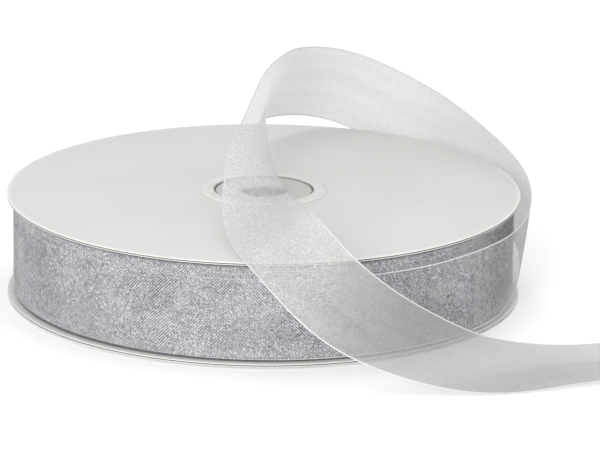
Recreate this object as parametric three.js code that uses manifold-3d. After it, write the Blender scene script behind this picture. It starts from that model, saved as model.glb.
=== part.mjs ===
// A flanged paper spool of sheer organza ribbon, with the last turn of the ribbon pulled off in a loop.
// Millimetres, +Z up. The origin is on the spool's axis, on the surface that the spool lies on.
import * as THREE from "three";
import { mergeVertices } from "three/addons/utils/BufferGeometryUtils.js";
import Module from "manifold-3d";

const wasm = await Module();
wasm.setup();

// ---- Driving dimensions ----

const ribbonWidth = 22.2; // a 7/8 inch ribbon
const sideSlack = 5; // height between the flanges that the ribbon's width leaves free
const flangeRadius = 71;
const boardThickness = 0.6; // the flange's greyboard
const paperThickness = 0.1; // the white coated paper on each side of the board

const spindleRadius = 6.35; // the half inch hole that a spindle passes through
const tubeBoreRadius = 14.7;
const innerPlyThickness = 1.2;
const outerPlyThickness = 1.4;

const collarFit = 0.1; // radial clearance between a collar's sleeve and the tube
const sleeveWall = 0.8;
const sleeveDepth = 3.2; // how far a collar's sleeve reaches in, from its crown
const collarOverlap = 3; // how far a collar's rim covers its flange, out from the tube's bore
const collarCrown = 0.6; // how far a collar stands proud of its flange
const webThickness = 1.2; // the disc that closes a collar round the spindle
const webDrop = 0.5; // how far the web lies below the crown
const grooveWidth = 0.5; // between the web and the collar's ring
const grooveFloorThickness = 0.5;

const tapeThickness = 0.1;
const tapeAngle = THREE.MathUtils.degToRad(70);

const packMargin = 1.7; // how far the winding stays inside the flange's rim
const packClearance = 0.3; // between the winding and each flange
const outerTurnThickness = 0.5;
const outerTurnLift = 1; // the last turn's lower edge above the lower flange
const ribbonSolidThickness = 0.5; // the free ribbon's stand-in thickness
const softGap = 0.3; // between solids that lie next to each other

const rimSegments = 120; // round pieces out at the rim
const coreSegments = rimSegments / 2; // round pieces at the core, whose corners line up with the rim's
const ribbonSteps = 120;
const ribbonStrips = 2; // across its width

// ---- Heights, from the table up ----

const flangeThickness = boardThickness + 2 * paperThickness;
const gapHeight = ribbonWidth + sideSlack;
const lowerFlangeBottom = collarCrown;
const lowerFlangeTop = lowerFlangeBottom + flangeThickness;
const upperFlangeBottom = lowerFlangeTop + gapHeight;
const upperFlangeTop = upperFlangeBottom + flangeThickness;
const spoolTop = upperFlangeTop + collarCrown;

// ---- Radii, from the axis out ----

const sleeveRadius = tubeBoreRadius - collarFit;
const collarMouthRadius = sleeveRadius - sleeveWall;
const webRadius = collarMouthRadius - grooveWidth;
const collarRimRadius = tubeBoreRadius + collarOverlap;
const plainFaceRadius = collarRimRadius + softGap; // a flange's outer face is plain from here out
const plyRadius = tubeBoreRadius + innerPlyThickness;
const tubeRadius = plyRadius + outerPlyThickness;
const packInnerRadius = tubeRadius + tapeThickness;
const packRadius = flangeRadius - packMargin;
const outerTurnInnerRadius = packRadius + softGap;
const outerTurnRadius = outerTurnInnerRadius + outerTurnThickness;

// ---- Materials ----

const material = (color, roughness) => new THREE.MeshStandardMaterial({ color, roughness, metalness: 0 });
const coatedPaper = material(0xeeede9, 0.45);
const greyboard = material(0x9a8f84, 0.9);
const tubePaper = material(0xb9ab98, 0.9);
const collarWhite = material(0xf1f0ec, 0.4);
const clearTape = material(0xe6dfc8, 0.2);
const organza = material(0xb9bcc2, 0.35);

// ---- Shape helpers ----

// A profile of [radius, height] points, turned round the Z axis. It closes on itself.
function turned(profile, segments) {
  const points = [...profile, profile[0]].map(([radius, height]) => new THREE.Vector2(radius, height));
  return new THREE.LatheGeometry(points, segments).rotateX(Math.PI / 2);
}

function ring(innerRadius, outerRadius, bottom, top, segments) {
  const profile = [
    [innerRadius, bottom],
    [outerRadius, bottom],
    [outerRadius, top],
    [innerRadius, top],
  ];
  return turned(profile, segments);
}

function solid(geometry) {
  const bare = geometry.clone();
  bare.deleteAttribute("normal");
  bare.deleteAttribute("uv");
  const merged = mergeVertices(bare);
  return new wasm.Manifold(
    new wasm.Mesh({
      numProp: 3,
      vertProperties: merged.attributes.position.array,
      triVerts: new Uint32Array(merged.index.array),
    }),
  );
}

function geometryOf(manifold) {
  const mesh = manifold.getMesh();
  const geometry = new THREE.BufferGeometry();
  geometry.setAttribute("position", new THREE.BufferAttribute(mesh.vertProperties, 3));
  geometry.setIndex(new THREE.BufferAttribute(mesh.triVerts, 1));
  geometry.computeVertexNormals();
  return geometry;
}

const spool = new THREE.Group();
const freeEnd = new THREE.Group();

function add(group, name, geometry, surface) {
  const mesh = new THREE.Mesh(geometry, surface);
  mesh.name = name;
  group.add(mesh);
}

// ---- Flanges: a greyboard disc with coated paper on both sides ----

// A disc whose faces are divided where the collar's rim ends, so that the plain face is one of its own.
function flangeDisc(bottom, top) {
  const profile = [
    [tubeBoreRadius, bottom],
    [plainFaceRadius, bottom],
    [flangeRadius, bottom],
    [flangeRadius, top],
    [plainFaceRadius, top],
    [tubeBoreRadius, top],
  ];
  return turned(profile, rimSegments);
}

function addFlange(name, bottom, outerSide) {
  const boardBottom = bottom + paperThickness;
  const boardTop = boardBottom + boardThickness;
  const top = bottom + flangeThickness;
  const [below, above] = outerSide === "below" ? ["outer", "inner"] : ["inner", "outer"];
  add(spool, `${name}_board`, flangeDisc(boardBottom, boardTop), greyboard);
  add(spool, `${name}_${below}_paper`, flangeDisc(bottom, boardBottom), coatedPaper);
  add(spool, `${name}_${above}_paper`, flangeDisc(boardTop, top), coatedPaper);
}

addFlange("lower_flange", lowerFlangeBottom, "below");
addFlange("upper_flange", upperFlangeBottom, "above");

// ---- Core: a two-ply paper tube between the flanges ----

const tubePly = (inner, outer) => ring(inner, outer, lowerFlangeTop, upperFlangeBottom, coreSegments);
add(spool, "core_inner_ply", tubePly(tubeBoreRadius, plyRadius), tubePaper);
add(spool, "core_outer_ply", tubePly(plyRadius, tubeRadius), tubePaper);

// ---- Collars: a white ring on each flange, with a short sleeve into the tube and a web round the spindle ----

// The profile, in [radius, height above the flange's outer face].
function collarProfile() {
  const sleeveEnd = collarCrown - sleeveDepth;
  const webTop = collarCrown - webDrop;
  const webBottom = webTop - webThickness;
  const grooveFloor = webBottom + grooveFloorThickness;
  const lip = 0.3; // chamfer at the mouth
  const slope = 1.1; // width of the slope from the crown down to the rim
  const rimHeight = collarCrown / 4;
  const shoulderHeight = collarCrown * 0.8; // halfway along the slope
  return [
    [spindleRadius, webBottom],
    [collarMouthRadius, webBottom],
    [collarMouthRadius, sleeveEnd],
    [sleeveRadius, sleeveEnd],
    [sleeveRadius, 0],
    [collarRimRadius, 0],
    [collarRimRadius, rimHeight],
    [collarRimRadius - slope / 2, shoulderHeight],
    [collarRimRadius - slope, collarCrown],
    [collarMouthRadius + lip, collarCrown],
    [collarMouthRadius, collarCrown - lip],
    [collarMouthRadius, grooveFloor],
    [webRadius, grooveFloor],
    [webRadius, webTop],
    [spindleRadius, webTop],
  ];
}

const upperCollar = turned(collarProfile(), coreSegments).translate(0, 0, upperFlangeTop);
add(spool, "upper_collar", upperCollar, collarWhite);
const lowerCollar = turned(collarProfile(), coreSegments).rotateX(Math.PI).translate(0, 0, lowerFlangeBottom);
add(spool, "lower_collar", lowerCollar, collarWhite);

// ---- The tape that holds the ribbon's first turn on the tube ----

const outerTurnBottom = lowerFlangeTop + outerTurnLift;
const outerTurnTop = outerTurnBottom + ribbonWidth;

function tapePatch() {
  const sleeve = ring(tubeRadius, packInnerRadius, outerTurnBottom, outerTurnTop, coreSegments);
  const reach = 2 * packInnerRadius;
  const wedge = new THREE.Shape();
  wedge.moveTo(0, 0);
  wedge.lineTo(reach * Math.cos(tapeAngle / 2), reach * Math.sin(-tapeAngle / 2));
  wedge.lineTo(reach * Math.cos(tapeAngle / 2), reach * Math.sin(tapeAngle / 2));
  wedge.closePath();
  const cutter = new THREE.ExtrudeGeometry(wedge, { depth: spoolTop, bevelEnabled: false });
  return geometryOf(solid(sleeve).intersect(solid(cutter)));
}

add(spool, "core_tape", tapePatch(), clearTape);

// ---- The ribbon: its winding, its last full turn, and its free end ----

const packBottom = lowerFlangeTop + packClearance;
const packTop = upperFlangeBottom - packClearance;
add(spool, "wound_ribbon", ring(packInnerRadius, packRadius, packBottom, packTop, rimSegments), organza);

const outerTurn = ring(outerTurnInnerRadius, outerTurnRadius, outerTurnBottom, outerTurnTop, rimSegments);
add(freeEnd, "outer_turn", outerTurn, organza);

// The free end's route. Each row guides the ribbon's middle line, [x, y, z], and the direction across
// the ribbon, [x, y, z]. It leaves the last turn, climbs round the spool, curls over the flange and
// falls across the rim to the table. It is laid out round a spool of routeRadius and routeHeight.
const routeRadius = 71;
const routeHeight = 30;
const route = [
  [49.5, -50.5, 13.5, 0, 0, 1],
  [64, -36, 14, 0, 0, 0.8],
  [71.5, -15, 15.5, 0.15, -0.2, 1.15],
  [74, 7, 20, 0.1, -0.2, 1],
  [68, 28, 24.5, 0.1, -0.2, 0.9],
  [56, 46.5, 30.5, 0.05, -0.25, 1],
  [42.5, 63, 33.5, 0.35, -0.05, 1],
  [21.5, 71.5, 42.5, 0.35, -0.1, 0.95],
  [5, 54, 47, 0.25, -0.05, 0.8],
  [0, 32.5, 49.5, 0.3, -0.05, 0.6],
  [0, 10.5, 46, -0.25, -0.2, 1.25],
  [-1, -11, 42, -0.55, -0.2, 0.85],
  [0, -32.5, 36.5, -0.85, -0.05, 0.2],
  [0.5, -54, 35.5, -0.7, -0.1, -0.25],
  [6, -78.5, 37.5, -0.55, -0.2, -0.55],
  [20.5, -86, 22, -0.45, -0.1, -0.55],
  [40, -83, 11, -0.4, -1.05, -0.95],
  [60, -82.5, 4.5, 0.2, -1, -0.45],
  [80, -73, 3, 0.2, -0.55, -0.05],
  [100.5, -66.5, 2.5, 0.3, -0.9, -0.15],
];

// A cubic B-spline through a list of guide vectors, which starts on the first and ends on the last.
function spline(guides, t) {
  const last = guides.length - 1;
  const guide = (i) => {
    if (i < 0) return guides[0].clone().multiplyScalar(2).sub(guides[1]);
    if (i > last) return guides[last].clone().multiplyScalar(2).sub(guides[last - 1]);
    return guides[i];
  };
  const i = Math.min(Math.floor(t * last), last - 1);
  const u = t * last - i;
  const weights = [(1 - u) ** 3, 3 * u ** 3 - 6 * u ** 2 + 4, 3 * u - 3 * u ** 3 + 3 * u ** 2 + 1, u ** 3];
  const sum = new THREE.Vector3();
  weights.forEach((weight, k) => sum.addScaledVector(guide(i - 1 + k), weight / 6));
  return sum;
}

const plan = flangeRadius / routeRadius;
const lift = spoolTop / routeHeight;
const middleGuides = route.map(([x, y, z]) => new THREE.Vector3(x * plan, y * plan, z * lift));
const acrossGuides = route.map((row) => new THREE.Vector3(...row.slice(3)));

// Gives a box's underside the diagonals of its upper face, so that the two stay parallel where it twists.
function matchDiagonals(box) {
  const underside = box.groups.at(-1);
  const cornersPerCell = 6; // each cell is two triangles
  for (let corner = underside.start; corner < underside.start + underside.count; corner += cornersPerCell) {
    box.index.setX(corner + 2, box.index.getX(corner + 4));
    box.index.setX(corner + 3, box.index.getX(corner));
  }
}

// A flat bar, bent so that its length follows the route.
function freeRibbon() {
  const bar = new THREE.BoxGeometry(1, ribbonWidth, ribbonSolidThickness, ribbonSteps, ribbonStrips, 1);
  matchDiagonals(bar);
  const position = bar.attributes.position;
  const tiny = 1e-3;
  for (let i = 0; i < position.count; i += 1) {
    const t = position.getX(i) + 0.5;
    const from = spline(middleGuides, Math.max(t - tiny, 0));
    const to = spline(middleGuides, Math.min(t + tiny, 1));
    const across = spline(acrossGuides, t).normalize();
    const normal = to.sub(from).cross(across).normalize();
    const point = spline(middleGuides, t);
    point.addScaledVector(across, position.getY(i)).addScaledVector(normal, position.getZ(i));
    position.setXYZ(i, point.x, point.y, point.z);
  }
  return bar;
}

add(freeEnd, "free_ribbon", freeRibbon(), organza);

const ribbonSpool = new THREE.Group();
ribbonSpool.add(spool, freeEnd);

export default ribbonSpool;
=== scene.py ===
"""A paper spool of sheer organza ribbon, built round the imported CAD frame. Metres, +Z up."""
import math
import random

import bpy
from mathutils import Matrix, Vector


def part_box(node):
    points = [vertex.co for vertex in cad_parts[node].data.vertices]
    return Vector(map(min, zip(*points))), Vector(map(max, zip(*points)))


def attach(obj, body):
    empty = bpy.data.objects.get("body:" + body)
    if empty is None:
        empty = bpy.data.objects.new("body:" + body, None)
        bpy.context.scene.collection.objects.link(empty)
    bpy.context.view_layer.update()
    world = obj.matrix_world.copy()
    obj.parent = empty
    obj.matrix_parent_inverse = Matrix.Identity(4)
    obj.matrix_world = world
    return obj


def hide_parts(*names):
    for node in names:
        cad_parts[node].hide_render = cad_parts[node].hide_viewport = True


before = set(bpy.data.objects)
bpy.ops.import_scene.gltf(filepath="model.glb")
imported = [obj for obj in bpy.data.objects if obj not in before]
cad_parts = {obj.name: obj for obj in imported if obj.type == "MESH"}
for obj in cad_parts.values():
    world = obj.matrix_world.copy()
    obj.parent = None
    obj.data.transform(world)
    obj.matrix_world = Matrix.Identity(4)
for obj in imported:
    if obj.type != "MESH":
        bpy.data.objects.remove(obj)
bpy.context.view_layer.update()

random.seed(7)
MM = 0.001

# ---- Places and sizes, from the frame ----

flange_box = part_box("upper_flange_board")
pack_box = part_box("wound_ribbon")
turn_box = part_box("outer_turn")
collar_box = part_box("upper_collar")

FLANGE_RADIUS = flange_box[1][0]
SPOOL_TOP = collar_box[1][2]
COLLAR_RADIUS = collar_box[1][0]
PACK_RADIUS = pack_box[1][0]
PACK_BOTTOM = pack_box[0][2]
PACK_TOP = pack_box[1][2]
PACK_MIDDLE = (PACK_TOP + PACK_BOTTOM) / 2
TURN_MIDDLE = (turn_box[0][2] + turn_box[1][2]) / 2
RIBBON_WIDTH = turn_box[1][2] - turn_box[0][2]
TUBE_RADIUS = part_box("core_outer_ply")[1][0]
SPOOL_CENTRE = Vector((0, 0, SPOOL_TOP / 2))

# The frame's boxes don't show what lies inside a ring, so these repeat the CAD's values.
BORE_RADIUS = 14.7 * MM
SPINDLE_RADIUS = 6.35 * MM
COLLAR_RISE = 0.6 * MM  # a collar's crown above its flange
SLEEVE_RADIUS = BORE_RADIUS - 0.1 * MM
SLEEVE_DEPTH = 3.2 * MM  # below the crown
MOUTH_RADIUS = SLEEVE_RADIUS - 0.8 * MM
WEB_RADIUS = MOUTH_RADIUS - 0.5 * MM
WEB_TOP = -0.5 * MM  # heights from the crown
WEB_BOTTOM = WEB_TOP - 1.2 * MM
GROOVE_FLOOR = WEB_BOTTOM + 0.5 * MM

# How loose the ribbon lies, as the third value of the attribute strip.
DEEP = 0.0
HELD = 5.0
FREE = 9.0


# ---- Node helpers ----

class Nodes:
    """A material's node tree, with short calls for the nodes used below."""

    def __init__(self, name):
        self.material = bpy.data.materials.new(name)
        self.material.use_nodes = True
        self.tree = self.material.node_tree
        self.tree.nodes.clear()

    def add(self, kind, **settings):
        node = self.tree.nodes.new(kind)
        for key, value in settings.items():
            setattr(node, key, value)
        return node

    def link(self, source, target):
        self.tree.links.new(source, target)

    def feed(self, socket, value):
        """Links a socket, or sets its value. A colour is given as red, green, blue."""
        if isinstance(value, bpy.types.NodeSocket):
            self.link(value, socket)
        elif isinstance(value, tuple):
            socket.default_value = (*value, 1)
        else:
            socket.default_value = value

    def math(self, operation, a, b=0.0, clamp=False):
        node = self.add("ShaderNodeMath", operation=operation, use_clamp=clamp)
        self.feed(node.inputs[0], a)
        self.feed(node.inputs[1], b)
        return node.outputs[0]

    def times(self, a, b):
        return self.math("MULTIPLY", a, b)

    def plus(self, a, b, clamp=False):
        return self.math("ADD", a, b, clamp)

    def minus(self, a, b):
        return self.math("SUBTRACT", a, b)

    def remap(self, value, low, high, to_low=0.0, to_high=1.0):
        """A smooth step from to_low to to_high as value goes from low to high."""
        node = self.add("ShaderNodeMapRange", interpolation_type="SMOOTHSTEP")
        for socket, given in zip(node.inputs, (value, low, high, to_low, to_high)):
            self.feed(socket, given)
        return node.outputs[0]

    def mix_colour(self, factor, a, b):
        node = self.add("ShaderNodeMix", data_type="RGBA")
        self.feed(node.inputs[0], factor)
        self.feed(node.inputs[6], a)
        self.feed(node.inputs[7], b)
        return node.outputs[2]

    def mix_shader(self, factor, a, b):
        node = self.add("ShaderNodeMixShader")
        for socket, given in zip(node.inputs, (factor, a, b)):
            self.feed(socket, given)
        return node.outputs[0]

    def noise(self, vector, scale, detail=2.0, roughness=0.5):
        node = self.add("ShaderNodeTexNoise")
        self.link(vector, node.inputs["Vector"])
        node.inputs["Scale"].default_value = scale
        node.inputs["Detail"].default_value = detail
        node.inputs["Roughness"].default_value = roughness
        return node.outputs["Fac"]

    def stretched_noise(self, x, y, seed, along, across, detail):
        """Noise whose features are 1 / along long and 1 / across wide."""
        return self.noise(self.vector(self.times(x, along), self.times(y, across), seed), 1.0, detail)

    def chance(self, vector):
        """A random value for each whole place."""
        node = self.add("ShaderNodeTexWhiteNoise", noise_dimensions="3D")
        self.link(vector, node.inputs["Vector"])
        return node.outputs["Value"]

    def vector(self, x, y, z=0.0):
        node = self.add("ShaderNodeCombineXYZ")
        for socket, value in zip(node.inputs, (x, y, z)):
            self.feed(socket, value)
        return node.outputs[0]

    def split(self, vector):
        node = self.add("ShaderNodeSeparateXYZ")
        self.link(vector, node.inputs[0])
        return node.outputs

    def place(self):
        return self.add("ShaderNodeTexCoord").outputs["Object"]

    def attribute(self, name, output):
        return self.add("ShaderNodeAttribute", attribute_name=name).outputs[output]

    def from_axis(self, x, y):
        return self.math("SQRT", self.plus(self.times(x, x), self.times(y, y)))

    def bump(self, height, strength, distance):
        node = self.add("ShaderNodeBump")
        self.link(height, node.inputs["Height"])
        node.inputs["Strength"].default_value = strength
        node.inputs["Distance"].default_value = distance
        return node.outputs["Normal"]

    def principled(self, colour, roughness, normal=None, **constants):
        node = self.add("ShaderNodeBsdfPrincipled")
        self.feed(node.inputs["Base Color"], colour)
        self.feed(node.inputs["Roughness"], roughness)
        if normal is not None:
            self.link(normal, node.inputs["Normal"])
        for key, value in constants.items():
            self.feed(node.inputs[key.replace("_", " ")], value)
        return node.outputs[0]

    def finish(self, shader):
        out = self.add("ShaderNodeOutputMaterial")
        self.link(shader, out.inputs["Surface"])
        return self.material


# ---- Materials. Noise scales are features per metre, or per millimetre on the ribbon. ----

def coated_paper():
    """White coated paper: faint fibre mottling, a soft sheen, scuffs, and a painted highlight that makes the
    rim paler.
    """
    n = Nodes("coated_paper")
    place = n.place()
    x, y, _ = n.split(place)
    fibre = n.noise(place, 900.0, 4.0, 0.6)
    cloud = n.noise(place, 38.0, 3.0)
    scuff = n.remap(n.stretched_noise(x, y, 0.0, 30.0, 400.0, 2.0), 0.62, 0.72)
    # Painted highlight: the paper is made paler towards the rim, for the light that the rim catches.
    rim = n.remap(n.from_axis(x, y), FLANGE_RADIUS - 1.5 * MM, FLANGE_RADIUS - 0.1 * MM)
    tone = n.mix_colour(n.remap(cloud, 0.3, 0.7), (0.665, 0.657, 0.643), (0.69, 0.686, 0.675))
    tone = n.mix_colour(n.times(fibre, 0.05), tone, (0.60, 0.58, 0.55))
    tone = n.mix_colour(n.times(rim, 0.5), tone, (0.90, 0.89, 0.87))
    rough = n.plus(n.times(cloud, 0.16), n.times(scuff, 0.08))
    rough = n.plus(rough, 0.34)
    normal = n.bump(fibre, 0.12, 0.06 * MM)
    return n.finish(n.principled(tone, rough, normal, Specular_IOR_Level=0.4))


def greyboard():
    """Recycled board: grey-brown fibre, darker specks, pressed layers on the cut edge."""
    n = Nodes("greyboard")
    place = n.place()
    x, y, z = n.split(place)
    flake = n.noise(place, 1500.0, 4.0, 0.7)
    speck = n.remap(n.noise(place, 2600.0, 1.0), 0.66, 0.74)
    layer = n.stretched_noise(x, y, n.times(z, 9000.0), 60.0, 60.0, 2.0)
    tone = n.mix_colour(n.remap(flake, 0.3, 0.7), (0.12, 0.098, 0.08), (0.24, 0.205, 0.175))
    tone = n.mix_colour(n.times(layer, 0.45), tone, (0.08, 0.065, 0.055))
    tone = n.mix_colour(n.times(speck, 0.5), tone, (0.07, 0.06, 0.055))
    normal = n.bump(n.plus(flake, layer), 0.5, 0.12 * MM)
    return n.finish(n.principled(tone, n.remap(flake, 0.2, 0.8, 0.75, 0.95), normal))


def tube_paper():
    """Spiral-wound tube paper, with the seam of its strip running round it."""
    n = Nodes("tube_paper")
    rise_per_turn = 19 * MM
    place = n.place()
    x, y, z = n.split(place)
    angle = n.math("ARCTAN2", y, x)
    turn = n.plus(n.math("DIVIDE", angle, 2 * math.pi), n.math("DIVIDE", z, rise_per_turn))
    from_seam = n.math("ABSOLUTE", n.minus(n.math("FRACT", turn), 0.5))
    seam = n.remap(from_seam, 0.0, 0.02, 1.0, 0.0)
    fibre = n.noise(place, 1200.0, 4.0, 0.65)
    tone = n.mix_colour(n.remap(fibre, 0.25, 0.75), (0.33, 0.275, 0.22), (0.47, 0.41, 0.34))
    tone = n.mix_colour(n.times(seam, 0.6), tone, (0.14, 0.11, 0.085))
    normal = n.bump(n.minus(n.times(fibre, 0.3), seam), 0.4, 0.2 * MM)
    return n.finish(n.principled(tone, n.remap(fibre, 0.2, 0.8, 0.7, 0.9), normal))


def collar_white():
    """The pressed white ring: fine turning marks, and painted shade at its outer rim, where it meets the
    flange, in its groove and on its sunken web.
    """
    n = Nodes("collar_white")
    place = n.place()
    x, y, z = n.split(place)
    radius = n.from_axis(x, y)
    groove_middle = (MOUTH_RADIUS + WEB_RADIUS) / 2
    from_groove = n.math("ABSOLUTE", n.minus(radius, groove_middle))
    groove = n.remap(from_groove, 0.22 * MM, 0.34 * MM, 1.0, 0.0)
    marks = n.stretched_noise(radius, z, 0.0, 2600.0, 900.0, 3.0)
    cloud = n.noise(place, 160.0, 3.0)
    tone = n.mix_colour(n.remap(cloud, 0.3, 0.7), (0.665, 0.66, 0.645), (0.72, 0.715, 0.70))
    # Painted shade: darker at the outer rim, where the ring meets the flange, and on the sunken web.
    rim_shade = n.remap(radius, COLLAR_RADIUS - 0.3 * MM, COLLAR_RADIUS, 0.0, 0.35)
    web_shade = n.remap(radius, MOUTH_RADIUS + 0.1 * MM, MOUTH_RADIUS - 0.2 * MM, 0.0, 0.75)
    tone = n.mix_colour(rim_shade, tone, (0.45, 0.43, 0.40))
    tone = n.mix_colour(web_shade, tone, (0.47, 0.465, 0.45))
    # Painted shade in the groove between the bead and the web.
    tone = n.mix_colour(n.times(groove, 0.6), tone, (0.26, 0.255, 0.25))
    rough = n.plus(n.times(marks, 0.12), 0.3)
    return n.finish(n.principled(tone, rough, n.bump(marks, 0.08, 0.04 * MM), Specular_IOR_Level=0.5))


def clear_tape():
    """Clear film tape: glossy, slightly yellow, with the glue's fine bubbles under it."""
    n = Nodes("clear_tape")
    bubble = n.remap(n.noise(n.place(), 1400.0, 1.0), 0.6, 0.7)
    tone = n.mix_colour(bubble, (0.66, 0.60, 0.46), (0.80, 0.76, 0.65))
    normal = n.bump(bubble, 0.2, 0.03 * MM)
    return n.finish(n.principled(tone, n.remap(bubble, 0.0, 1.0, 0.12, 0.3), normal))


THREAD = 0.86  # millimetres for one over-and-under of the weave
SELVEDGE = 0.42  # millimetres, the dense band along each edge
GRAIN = 0.40  # millimetres, one glitter on the winding
FREE_GRAIN = 0.38  # and on the free end
# Painted light on the winding: its dark tone is darker than the free end's, as painted shade from the layers
# above, and its light tone lighter, as painted glints.
HELD_DARK_PAINTED_SHADE = (0.085, 0.088, 0.098)  # the weave's tones where the ribbon lies on the winding
HELD_LIGHT_PAINTED_GLINT = (0.84, 0.845, 0.868)
FREE_DARK = (0.44, 0.44, 0.43)
FREE_LIGHT = (0.72, 0.72, 0.70)
HELD_CONTRAST = 1.8
FREE_CONTRAST = 0.34
HELD_COVER = 0.42  # the share of a layer that its threads fill
FREE_COVER = 0.66


class Weave:
    """The parts of organza's texture that its tone, its gaps and its bumps are made of."""

    def __init__(self, n, along, across, seed, held, grain):
        self.nodes = n
        flat = n.vector(along, across, seed)
        drift = n.times(n.minus(n.noise(flat, 0.16, 2.0), 0.5), 0.35)
        warp = n.times(n.plus(along, drift), 2 * math.pi / THREAD)
        weft = n.times(n.minus(across, drift), 2 * math.pi / THREAD)
        rising = n.math("COSINE", n.minus(warp, weft))
        falling = n.math("COSINE", n.plus(warp, weft))
        lean = n.remap(n.noise(flat, 0.10, 2.0), 0.40, 0.60)
        threads = n.plus(n.times(rising, lean), n.times(falling, n.minus(1.0, lean)))
        self.threads = n.times(threads, n.remap(held, 0.0, 1.0, 0.35, 1.0))
        slanted = n.plus(along, n.times(across, 0.4))
        column = n.math("FLOOR", n.math("DIVIDE", slanted, grain))
        row = n.math("FLOOR", n.math("DIVIDE", across, grain))
        self.spark = n.chance(n.vector(column, row, seed))
        patch = n.remap(n.noise(flat, 0.07, 2.0, 0.5), 0.32, 0.60, 0.5, 1.0)
        self.patched = n.times(self.threads, patch)
        self.glint = n.times(n.remap(self.spark, 0.70, 1.0), patch)
        self.gap = n.times(n.remap(self.spark, 0.35, 0.0), patch)
        self.streak = n.minus(n.stretched_noise(along, across, seed, 0.9, 0.05, 3.0), 0.5)
        self.fold = n.minus(n.stretched_noise(along, across, seed, 0.03, 0.3, 2.0), 0.5)

    def sum(self, threads, glint, gap):
        """Adds the parts up, each with its own weight."""
        n = self.nodes
        total = n.plus(n.times(self.patched, threads), n.times(self.glint, glint))
        return n.minus(total, n.times(self.gap, gap))


def near_flanges(n):
    """How much the shade under a flange darkens a place on the winding."""
    _, _, z = n.split(n.place())
    high = n.remap(z, PACK_TOP - 1.5 * MM, PACK_TOP, 0.0, 0.85)
    low = n.remap(z, PACK_BOTTOM + 1.2 * MM, PACK_BOTTOM, 0.0, 0.85)
    return n.math("MAXIMUM", high, low)


def organza(name, grain, sheer=True, shaded=False):
    """Organza: a fine open weave of glittering threads.

    The surface carries the attribute strip: millimetres along the ribbon, across it, and how loose it lies,
    from DEEP in the winding over HELD on it to FREE, where the selvedges catch the light. The attribute gloss
    holds painted light: how much brighter than the rest a stretch is painted, as a highlight, or how much
    darker, as painted shade, when it is negative. A shaded piece is painted darker close to the flanges, for
    the shade under them.
    """
    n = Nodes(name)
    along, across, loose = n.split(n.attribute("strip", "Vector"))
    gloss = n.attribute("gloss", "Fac")
    painted_highlight = n.math("MAXIMUM", gloss, 0.0, clamp=True)
    painted_shade = n.math("MAXIMUM", n.times(gloss, -1.0), 0.0, clamp=True)
    seed = n.times(n.math("FLOOR", n.math("MINIMUM", loose, HELD)), 40.0)
    held = n.remap(loose, HELD, FREE - 1, 1.0, 0.0)
    weave = Weave(n, along, across, seed, held, grain)
    half = RIBBON_WIDTH / MM / 2
    edge = n.remap(n.math("ABSOLUTE", across), half - SELVEDGE, half - SELVEDGE * 0.6)
    edge = n.times(edge, n.remap(loose, HELD, FREE, 0.6, 0.75))

    crisp = n.plus(n.minus(1.0, n.times(painted_shade, 0.8)), n.times(painted_highlight, 2.6))
    crisp = n.times(crisp, n.remap(held, 0.0, 1.0, FREE_CONTRAST, HELD_CONTRAST))
    shade = n.plus(n.times(weave.streak, 0.2), 0.47)
    shade = n.plus(shade, n.times(weave.fold, 0.7))
    shade = n.plus(shade, n.times(weave.sum(0.8, 0.75, 0.75), crisp), clamp=True)
    # On the winding the tones carry painted shade in the darks and painted glints in the lights.
    dark = n.mix_colour(held, FREE_DARK, HELD_DARK_PAINTED_SHADE)
    light = n.mix_colour(held, FREE_LIGHT, HELD_LIGHT_PAINTED_GLINT)
    tone = n.mix_colour(shade, dark, light)
    # Painted light: a painted highlight lifts the tone towards white, and painted shade sinks it towards near
    # black.
    tone = n.mix_colour(painted_highlight, tone, (1.0, 1.0, 1.0))
    tone = n.mix_colour(painted_shade, tone, (0.10, 0.10, 0.105))
    tone = n.mix_colour(edge, tone, (0.82, 0.825, 0.84))
    if shaded:
        tone = n.mix_colour(near_flanges(n), tone, (0.04, 0.04, 0.045))
    rough = n.remap(weave.glint, 0.0, 1.0, 0.5, 0.22)
    normal = n.bump(n.plus(weave.threads, n.times(weave.spark, 0.7)), 0.35, 0.08 * MM)
    cloth = n.principled(tone, rough, normal, Specular_IOR_Level=0.5, Sheen_Weight=0.15, Sheen_Roughness=0.4)
    if not sheer:
        return n.finish(cloth)

    through = n.add("ShaderNodeBsdfTranslucent")
    n.link(tone, through.inputs["Color"])
    lit = n.mix_shader(0.35, cloth, through.outputs[0])
    filled = n.times(weave.sum(0.22, 0.30, 0.22), crisp)
    filled = n.plus(filled, n.remap(held, 0.0, 1.0, FREE_COVER, HELD_COVER))
    filled = n.math("MAXIMUM", filled, edge, clamp=True)
    clear = n.add("ShaderNodeBsdfTransparent").outputs[0]
    return n.finish(n.mix_shader(filled, clear, lit))


def selvedge_thread():
    """The dense cord of threads along each edge of the ribbon, brighter than the sheer middle."""
    n = Nodes("selvedge_thread")
    along, around, side = n.split(n.attribute("strip", "Vector"))
    twist = n.math("SINE", n.times(n.plus(along, n.times(around, 0.35)), 9.0))
    uneven = n.noise(n.vector(along, side), 0.8, 3.0)
    tone = n.mix_colour(n.remap(twist, -1.0, 1.0), (0.62, 0.63, 0.65), (0.90, 0.91, 0.93))
    tone = n.mix_colour(n.times(uneven, 0.3), tone, (0.45, 0.46, 0.49))
    rough = n.remap(uneven, 0.3, 0.7, 0.3, 0.5)
    return n.finish(n.principled(tone, rough, n.bump(twist, 0.5, 0.06 * MM)))


# ---- Mesh helpers ----

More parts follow.
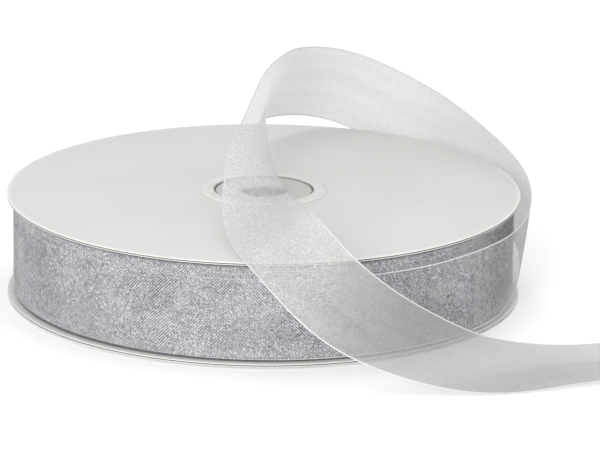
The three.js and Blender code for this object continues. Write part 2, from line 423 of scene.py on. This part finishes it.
def mesh_piece(name, body, replaced, slot_name, material, points, faces, strip=None, gloss=None):
    """A mesh object that rides on a CAD body and stands for the CAD nodes named in replaced."""
    mesh = bpy.data.meshes.new(name)
    mesh.from_pydata([tuple(p) for p in points], [], faces)
    mesh.update()
    mesh.polygons.foreach_set("use_smooth", [True] * len(mesh.polygons))
    if strip is not None:
        attribute = mesh.attributes.new("strip", "FLOAT_VECTOR", "POINT")
        attribute.data.foreach_set("vector", [value for row in strip for value in row])
    if gloss is not None:
        mesh.attributes.new("gloss", "FLOAT", "POINT").data.foreach_set("value", gloss)
    piece = bpy.data.objects.new(name, mesh)
    bpy.context.scene.collection.objects.link(piece)
    mesh.materials.append(material)
    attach(piece, body)
    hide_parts(*replaced)
    return piece


def lathe(profile, segments):
    """Points and faces of a closed profile of [radius, height], turned round the Z axis."""
    points, faces, count = [], [], len(profile)
    for i in range(segments):
        angle = 2 * math.pi * i / segments
        for radius, height in profile:
            points.append((radius * math.cos(angle), radius * math.sin(angle), height))
    for i in range(segments):
        here, there = i * count, (i + 1) % segments * count
        for k in range(count):
            after = (k + 1) % count
            faces.append((here + k, there + k, there + after, here + after))
    return points, faces


CREASE = 35  # degrees: shading stays crisp across edges that bend more


def turned_piece(name, node, slot_name, material, profile, segments, crease=CREASE):
    """A node of the spool, turned from its profile."""
    piece = mesh_piece(name, "spool", [node], slot_name, material, *lathe(profile, segments))
    piece.data.set_sharp_from_angle(angle=math.radians(crease))


def grid_faces(steps, columns):
    """The faces of a strip whose points come in steps + 1 rows of columns + 1."""
    faces = []
    for i in range(steps):
        for k in range(columns):
            a = i * (columns + 1) + k
            b = a + columns + 1
            faces.append((a, b, b + 1, a + 1))
    return faces


def arc(centre_radius, centre_height, radius, start, end, steps):
    """Points of a round stretch of a profile, with angles in degrees from outwards to upwards."""
    for i in range(steps + 1):
        angle = math.radians(start + (end - start) * i / steps)
        yield (centre_radius + radius * math.cos(angle), centre_height + radius * math.sin(angle))


def ease(value):
    """Goes smoothly from 0 to 1 as value does, and stays there."""
    value = min(max(value, 0.0), 1.0)
    return value * value * (3 - 2 * value)


# ---- Flanges, tube and collars ----

ROUND = 360  # steps round a flange
CORE_ROUND = 180  # steps round the core


def rounded_disc(inner, outer, bottom, top, rounding):
    """A disc's profile, with its outer edge rounded by rounding above and below."""
    steps = 3
    return [
        (inner, bottom),
        *arc(outer - rounding, bottom + rounding, rounding, -90, 0, steps),
        *arc(outer - rounding, top - rounding, rounding, 0, 90, steps),
        (inner, top),
    ]


def cap_paper(inner, outer, bottom, top, upwards):
    """A facing's profile whose rim has been pressed over the board's edge by the die."""
    lip, drop = 0.12 * MM, 0.16 * MM
    rounding = lip * 1.4
    thickness = top - bottom
    flat = [(inner, 0.0), (outer - lip, 0.0), (outer - lip * 0.3, -drop), (outer, -drop * 0.9)]
    flat += list(arc(outer - rounding, thickness - rounding, rounding, 0, 90, 4))
    flat += [(inner, thickness)]
    if upwards:
        return [(r, bottom + h) for r, h in flat]
    return [(r, top - h) for r, h in reversed(flat)]


def build_flanges():
    paper, board = coated_paper(), greyboard()
    board_radius = FLANGE_RADIUS - 0.13 * MM
    for flange, outer_is_up in (("lower_flange", False), ("upper_flange", True)):
        low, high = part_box(f"{flange}_board")
        profile = rounded_disc(BORE_RADIUS, board_radius, low[2], high[2], 0.05 * MM)
        turned_piece(f"{flange}_greyboard", f"{flange}_board", "greyboard", board, profile, ROUND)
        for side in ("outer", "inner"):
            low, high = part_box(f"{flange}_{side}_paper")
            upwards = outer_is_up == (side == "outer")
            profile = cap_paper(BORE_RADIUS, FLANGE_RADIUS, low[2], high[2], upwards)
            name = f"{flange}_{side}_facing"
            turned_piece(name, f"{flange}_{side}_paper", "coated_paper", paper, profile, ROUND)


def build_core():
    paper = tube_paper()
    ply_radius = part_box("core_inner_ply")[1][0]
    for node, inner in (("core_inner_ply", BORE_RADIUS), ("core_outer_ply", ply_radius)):
        low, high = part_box(node)
        profile = [(inner, low[2]), (high[0], low[2]), (high[0], high[2]), (inner, high[2])]
        turned_piece(f"{node}_wound", node, "tube_paper", paper, profile, CORE_ROUND)
    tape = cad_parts["core_tape"]
    tape.data.materials.clear()
    tape.data.materials.append(clear_tape())


def collar_profile(rim):
    """Web, sleeve, slope up to a flat crown, a bead round the mouth, the groove, and the flared hole."""
    bead = 0.45 * MM
    soft = 0.2 * MM
    flare = 0.8 * MM
    shoulder = COLLAR_RISE * 0.9
    profile = [(SPINDLE_RADIUS, WEB_BOTTOM), (MOUTH_RADIUS, WEB_BOTTOM), (MOUTH_RADIUS, -SLEEVE_DEPTH)]
    profile += [(SLEEVE_RADIUS - soft, -SLEEVE_DEPTH), (SLEEVE_RADIUS, -SLEEVE_DEPTH + soft)]
    profile += [(SLEEVE_RADIUS, -COLLAR_RISE), (rim, -COLLAR_RISE), (rim, -COLLAR_RISE * 0.8)]
    profile += list(arc(rim - 1.1 * MM, -shoulder, shoulder, 20, 90, 6))[1:]
    profile += list(arc(MOUTH_RADIUS + bead, -bead, bead, 90, 180, 6))
    profile += [(MOUTH_RADIUS, GROOVE_FLOOR), (WEB_RADIUS, GROOVE_FLOOR)]
    profile += list(arc(WEB_RADIUS - soft, WEB_TOP - soft, soft, 0, 90, 4))
    profile += list(arc(SPINDLE_RADIUS + flare, WEB_TOP - flare, flare, 90, 180, 6))
    return profile


def build_collars():
    white = collar_white()
    for node, up in (("upper_collar", 1), ("lower_collar", -1)):
        low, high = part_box(node)
        crown = high[2] if up > 0 else low[2]
        profile = [(r, crown + up * h) for r, h in collar_profile(high[0])]
        turned_piece(f"{node}_ring", node, "collar", white, profile[::up], CORE_ROUND, crease=50)


# ---- The winding ----

TURN_ROUND = 360  # steps round a turn
TURN_COLUMNS = 10  # steps across it
TURN_START = 0.25  # of a turn from the X axis, where the turns' ends meet, at the back

# The turns that show on the outside: how deep each lies under the winding's radius, how far it is
# shifted up, how far its height wanders, all in millimetres, and the phase of that.
SHOWING_TURNS = [
    (0.40, 2.2, 0.35, 0.4),
    (0.30, -2.0, 0.30, 2.3),
    (0.20, 1.3, 0.45, 4.0),
    (0.10, 0.1, 0.25, 5.2),
]


def band(radius, middle, layer, wander, phase):
    """Points and strip attribute of one turn of ribbon on the winding."""
    puff_height = 0.06 * MM
    points, strip = [], []
    for i in range(TURN_ROUND + 1):
        turn = TURN_START + i / TURN_ROUND
        angle = 2 * math.pi * turn
        sway = wander * (math.sin(angle + phase) + 0.35 * math.sin(3 * angle + 2 * phase))
        for k in range(TURN_COLUMNS + 1):
            share = k / TURN_COLUMNS - 0.5
            r = radius + puff_height * math.sin(2 * angle + phase + 5 * share)
            across = RIBBON_WIDTH * share
            points.append((r * math.cos(angle), r * math.sin(angle), middle + sway + across))
            strip.append((2 * math.pi * radius * turn / MM, across / MM, layer))
    return points, strip


def mass_profile(outer):
    """The winding's profile: groups of turns whose edges stand at slightly different heights."""
    groups = 44
    rows = 12  # of the outer wall
    seam = 0.04 * MM
    inner = TUBE_RADIUS + 0.1 * MM
    thick = (outer - inner) / groups
    slack = (PACK_TOP - PACK_BOTTOM - RIBBON_WIDTH) / 2
    tops, bottoms = [], []
    for g in range(groups):
        shift = slack * (0.6 * math.sin(g * 1.9) + 0.4 * random.uniform(-1, 1))
        last = g == groups - 1
        top = PACK_TOP if last else PACK_MIDDLE + RIBBON_WIDTH / 2 + shift
        bottom = PACK_BOTTOM if last else PACK_MIDDLE - RIBBON_WIDTH / 2 + shift
        start, end = inner + g * thick, inner + (g + 1) * thick
        tops += [(start + seam, top), (end - seam, top)]
        bottoms += [(start + seam, bottom), (end - seam, bottom)]
    wall = [(outer, PACK_BOTTOM + (PACK_TOP - PACK_BOTTOM) * i / rows) for i in range(rows + 1)]
    return bottoms[:-1] + wall + tops[:-1][::-1]


def build_mass():
    outer = PACK_RADIUS - 0.5 * MM
    weave_width = 0.8  # keeps the selvedge's band off the outer wall
    profile = mass_profile(outer)
    points, faces = lathe(profile, CORE_ROUND)
    strip = []
    for i, (_, _, z) in enumerate(points):
        angle = 2 * math.pi * (i // len(profile)) / CORE_ROUND
        strip.append((outer * angle / MM, (z - PACK_MIDDLE) / MM * weave_width, DEEP))
    wound = organza("organza_wound", GRAIN, sheer=False, shaded=True)
    piece = mesh_piece(
        "wound_ribbon_mass", "spool", ["wound_ribbon"], "organza_wound", wound, points, faces, strip
    )
    piece.data.set_sharp_from_angle(angle=math.radians(CREASE))


def build_showing_turns():
    sheer = organza("organza_turns", GRAIN, shaded=True)
    points, faces, strip = [], [], []
    for layer, (depth, shift, wander, phase) in enumerate(SHOWING_TURNS, 1):
        radius, middle = PACK_RADIUS - depth * MM, PACK_MIDDLE + shift * MM
        turn_points, turn_strip = band(radius, middle, layer, wander * MM, phase)
        offset = len(points)
        points += turn_points
        strip += turn_strip
        faces += [tuple(v + offset for v in face) for face in grid_faces(TURN_ROUND, TURN_COLUMNS)]
    mesh_piece("wound_ribbon_turns", "spool", ["wound_ribbon"], "organza_wound", sheer, points, faces, strip)


# ---- The ribbon's free end ----

# The route of the ribbon's middle line, x, y, z in millimetres, and the direction across the ribbon
# there, x, y, z: off the last turn, round the back, over the flange and down to the table.
ROUTE = [
    (49.5, -50.5, 13.5, 0, 0, 1),
    (64, -36, 14, 0, 0, 0.8),
    (71.5, -15, 15.5, 0.15, -0.2, 1.15),
    (74, 7, 20, 0.1, -0.2, 1),
    (68, 28, 24.5, 0.1, -0.2, 0.9),
    (56, 46.5, 30.5, 0.05, -0.25, 1),
    (42.5, 63, 33.5, 0.35, -0.05, 1),
    (21.5, 71.5, 42.5, 0.35, -0.1, 0.95),
    (5, 54, 47, 0.25, -0.05, 0.8),
    (0, 32.5, 49.5, 0.3, -0.05, 0.6),
    (0, 10.5, 46, -0.25, -0.2, 1.25),
    (-1, -11, 42, -0.55, -0.2, 0.85),
    (0, -32.5, 36.5, -0.85, -0.05, 0.2),
    (0.5, -54, 35.5, -0.7, -0.1, -0.25),
    (6, -78.5, 37.5, -0.55, -0.2, -0.55),
    (20.5, -86, 22, -0.45, -0.1, -0.55),
    (40, -83, 11, -0.4, -1.05, -0.95),
    (60, -82.5, 4.5, 0.2, -1, -0.45),
    (80, -73, 3, 0.2, -0.55, -0.05),
    (100.5, -66.5, 2.5, 0.3, -0.9, -0.15),
]
MIDDLE = [Vector(row[:3]) * MM for row in ROUTE]
ACROSS = [Vector(row[3:]) for row in ROUTE]
TURNS_SHOWN = 1.35  # turns of the same strip that lie on the winding
FREE_STEPS = 420
ACROSS_STEPS = 20
SELVEDGE_LEAD = 60  # steps before the route where the selvedge's cord begins, thin at first


def spline(guides, t):
    """A cubic B-spline through a list of guide vectors, which starts on the first and ends on the last."""
    last = len(guides) - 1

    def guide(i):
        if i < 0:
            return guides[0] * 2 - guides[1]
        if i > last:
            return guides[last] * 2 - guides[last - 1]
        return guides[i]

    i = min(int(t * last), last - 1)
    u = t * last - i
    weights = ((1 - u) ** 3, 3 * u**3 - 6 * u**2 + 4, 3 * u - 3 * u**3 + 3 * u**2 + 1, u**3)
    total = Vector((0, 0, 0))
    for k, weight in enumerate(weights):
        total += guide(i - 1 + k) * (weight / 6)
    return total


def wound_line():
    """The middle points of the strip's turns on the winding: it comes out from under them, then lifts off."""
    first_angle = math.atan2(MIDDLE[0].y, MIDDLE[0].x)
    first_radius = math.hypot(MIDDLE[0].x, MIDDLE[0].y)
    outside = PACK_RADIUS + 0.1 * MM
    tucked = 0.75 * MM  # how far the inner end lies under the rest
    raised = 1.4 * MM  # how far that end is shifted up the spool's axis
    last_part = 0.16  # of a turn, along which the strip leaves the winding
    steps = round(TURNS_SHOWN * TURN_ROUND)
    for i in range(steps):
        turn = -TURNS_SHOWN * (1 - i / steps)
        angle = first_angle + 2 * math.pi * turn
        radius = outside - tucked * ease((-turn - 0.95) / 0.4)
        radius += (first_radius - radius) * ease((turn + last_part) / last_part)
        sway = 0.3 * MM * math.sin(angle * 2 + 1.0) * ease(-turn / 0.2)
        sway += raised * ease((-turn - 0.9) / 0.3)
        yield Vector((radius * math.cos(angle), radius * math.sin(angle), TURN_MIDDLE + sway))


def strip_line():
    """The whole strip's middle points and directions across it: its turns on the winding, then its route."""
    line = [(point, Vector((0, 0, 1))) for point in wound_line()]
    for i in range(FREE_STEPS + 1):
        t = i / FREE_STEPS
        line.append((spline(MIDDLE, t), spline(ACROSS, t).normalized()))
    return line


def gloss_at(t):
    """The painted light along the ribbon's route, which t runs along from 0 to 1: a painted highlight where
    it is positive, painted shade where it is negative.
    """
    # A painted highlight where the ribbon lies over the flange; painted shade on the table, where it leaves
    # the winding and where it curls.
    over_flange = 0.43 * ease((t - 0.42) / 0.08)
    on_table = 0.81 * ease((t - 0.70) / 0.15) - 0.14 * ease((t - 0.9) / 0.1)
    leaving = 0.2 * (ease(t / 0.06) - ease((t - 0.22) / 0.1))
    curling = 0.08 * (ease((t - 0.36) / 0.05) - ease((t - 0.46) / 0.05))
    return over_flange - on_table - (leaving + curling)


def build_free_end():
    line = strip_line()
    route_start = len(line) - FREE_STEPS
    half = RIBBON_WIDTH / 2
    curl_height = 0.25 * MM
    long_wave, short_wave = 47 * MM, 11 * MM  # of ribbon for each radian
    points, strip, gloss = [], [], []
    along = 0.0
    edges = ([], [])
    for i, (middle, across) in enumerate(line):
        if i:
            along += (middle - line[i - 1][0]).length
        ahead = line[min(i + 1, len(line) - 1)][0] - line[max(i - 1, 0)][0]
        normal = ahead.cross(across).normalized()
        t = (i - route_start) / FREE_STEPS
        free = ease(t / 0.14)
        for k in range(ACROSS_STEPS + 1):
            v = 2 * k / ACROSS_STEPS - 1
            wave = (1 - v * v) * math.sin(along / long_wave) + 0.4 * v * math.sin(along / short_wave)
            points.append(middle + across * (half * v) + normal * (free * curl_height * wave))
            strip.append((along / MM, half * v / MM, HELD + (FREE - HELD) * free))
            gloss.append(gloss_at(t))
        if i >= route_start - SELVEDGE_LEAD:
            edges[0].append((points[-1 - ACROSS_STEPS], normal, across, along))
            edges[1].append((points[-1], normal, across, along))
    faces = grid_faces(len(line) - 1, ACROSS_STEPS)
    sheer = organza("organza_sheer", FREE_GRAIN)
    replaced = ["outer_turn", "free_ribbon"]
    ribbon = mesh_piece(
        "ribbon_free_end", "free_end", replaced, "organza_sheer", sheer, points, faces, strip, gloss
    )
    cord = build_selvedges(edges)


def build_selvedges(edges):
    """A flattened cord of threads along each edge of the free end."""
    sides = 8
    wide, thick = 0.19 * MM, 0.09 * MM
    points, faces, strip = [], [], []
    for side, edge in enumerate(edges):
        inwards = 1 if side == 0 else -1
        offset = len(points)
        for step, (centre, normal, across, along) in enumerate(edge):
            size = 0.25 + 0.75 * ease(step / SELVEDGE_LEAD)
            for k in range(sides):
                angle = 2 * math.pi * k / sides
                inset = across * (inwards * wide * size * (1 + math.cos(angle)))
                points.append(centre + inset + normal * (thick * size * math.sin(angle)))
                strip.append((along / MM, angle, side))
        for i in range(len(edge) - 1):
            for k in range(sides):
                a = offset + i * sides + k
                b = offset + i * sides + (k + 1) % sides
                faces.append((a, b, b + sides, a + sides))
        first = tuple(offset + k for k in range(sides))
        last = tuple(offset + (len(edge) - 1) * sides + k for k in range(sides))
        faces += [first[::-1], last]
    thread = selvedge_thread()
    return mesh_piece(
        "ribbon_selvedges", "free_end", ["free_ribbon"], "organza_sheer", thread, points, faces, strip
    )


# ---- Stage, light and camera ----

def build_stage():
    """A plain pale floor under the spool."""
    size = 3.0
    mesh = bpy.data.meshes.new("floor")
    corners = [(-size, -size, 0), (size, -size, 0), (size, size, 0), (-size, size, 0)]
    mesh.from_pydata(corners, [], [(0, 1, 2, 3)])
    floor = bpy.data.objects.new("floor", mesh)
    floor.location.z = -0.05 * MM
    bpy.context.scene.collection.objects.link(floor)
    n = Nodes("pale_floor")
    paint = n.principled(
        (0.92, 0.92, 0.92), 0.7, Specular_IOR_Level=0.1, Emission_Color=(1, 1, 1), Emission_Strength=0.17
    )
    mesh.materials.append(n.finish(paint))


def softbox(name, place, size, power):
    light = bpy.data.lights.new(name, "AREA")
    light.shape = "DISK"
    light.size = size
    light.energy = power
    lamp = bpy.data.objects.new(name, light)
    lamp.location = place
    lamp.rotation_euler = (SPOOL_CENTRE - Vector(place)).to_track_quat("-Z", "Y").to_euler()
    bpy.context.scene.collection.objects.link(lamp)


def build_light():
    world = bpy.data.worlds.new("studio")
    bpy.context.scene.world = world
    world.use_nodes = True
    sky = world.node_tree.nodes["Background"]
    sky.inputs["Color"].default_value = (1, 1, 1, 1)
    sky.inputs["Strength"].default_value = 0.8
    softbox("key", (-0.30, -1.30, 0.42), 0.5, 9.0)
    softbox("top", (0.1, 0.35, 1.2), 0.8, 2.6)
    bpy.context.scene.view_settings.view_transform = "Standard"


CAMERA_ELEVATION = math.radians(16.12)
CAMERA_ROLL = math.radians(0.593)
CAMERA_DISTANCE = 1.3877
LENS = 300  # millimetres, on a 36 millimetre sensor
AIM_RIGHT = 10.15 * MM  # the camera looks this far right of and above the spool's centre
AIM_UP = 4.17 * MM


def build_camera():
    right = Vector((1, 0, 0))
    forward = Vector((0, math.cos(CAMERA_ELEVATION), -math.sin(CAMERA_ELEVATION)))
    up = right.cross(forward)
    x_axis = right * math.cos(CAMERA_ROLL) + up * math.sin(CAMERA_ROLL)
    y_axis = up * math.cos(CAMERA_ROLL) - right * math.sin(CAMERA_ROLL)
    aim = SPOOL_CENTRE + x_axis * AIM_RIGHT + y_axis * AIM_UP
    data = bpy.data.cameras.new("camera")
    data.lens = LENS
    data.sensor_width = 36
    data.clip_end = 20
    camera = bpy.data.objects.new("camera", data)
    bpy.context.scene.collection.objects.link(camera)
    place = aim - forward * CAMERA_DISTANCE
    matrix = camera.matrix_world.copy()
    for column, vector in enumerate((x_axis, y_axis, -forward, place)):
        for row in range(3):
            matrix[row][column] = vector[row]
    camera.matrix_world = matrix
    bpy.context.scene.camera = camera


build_camera()
build_free_end()
build_mass()
build_showing_turns()
build_flanges()
build_core()
build_collars()
build_stage()
build_light()
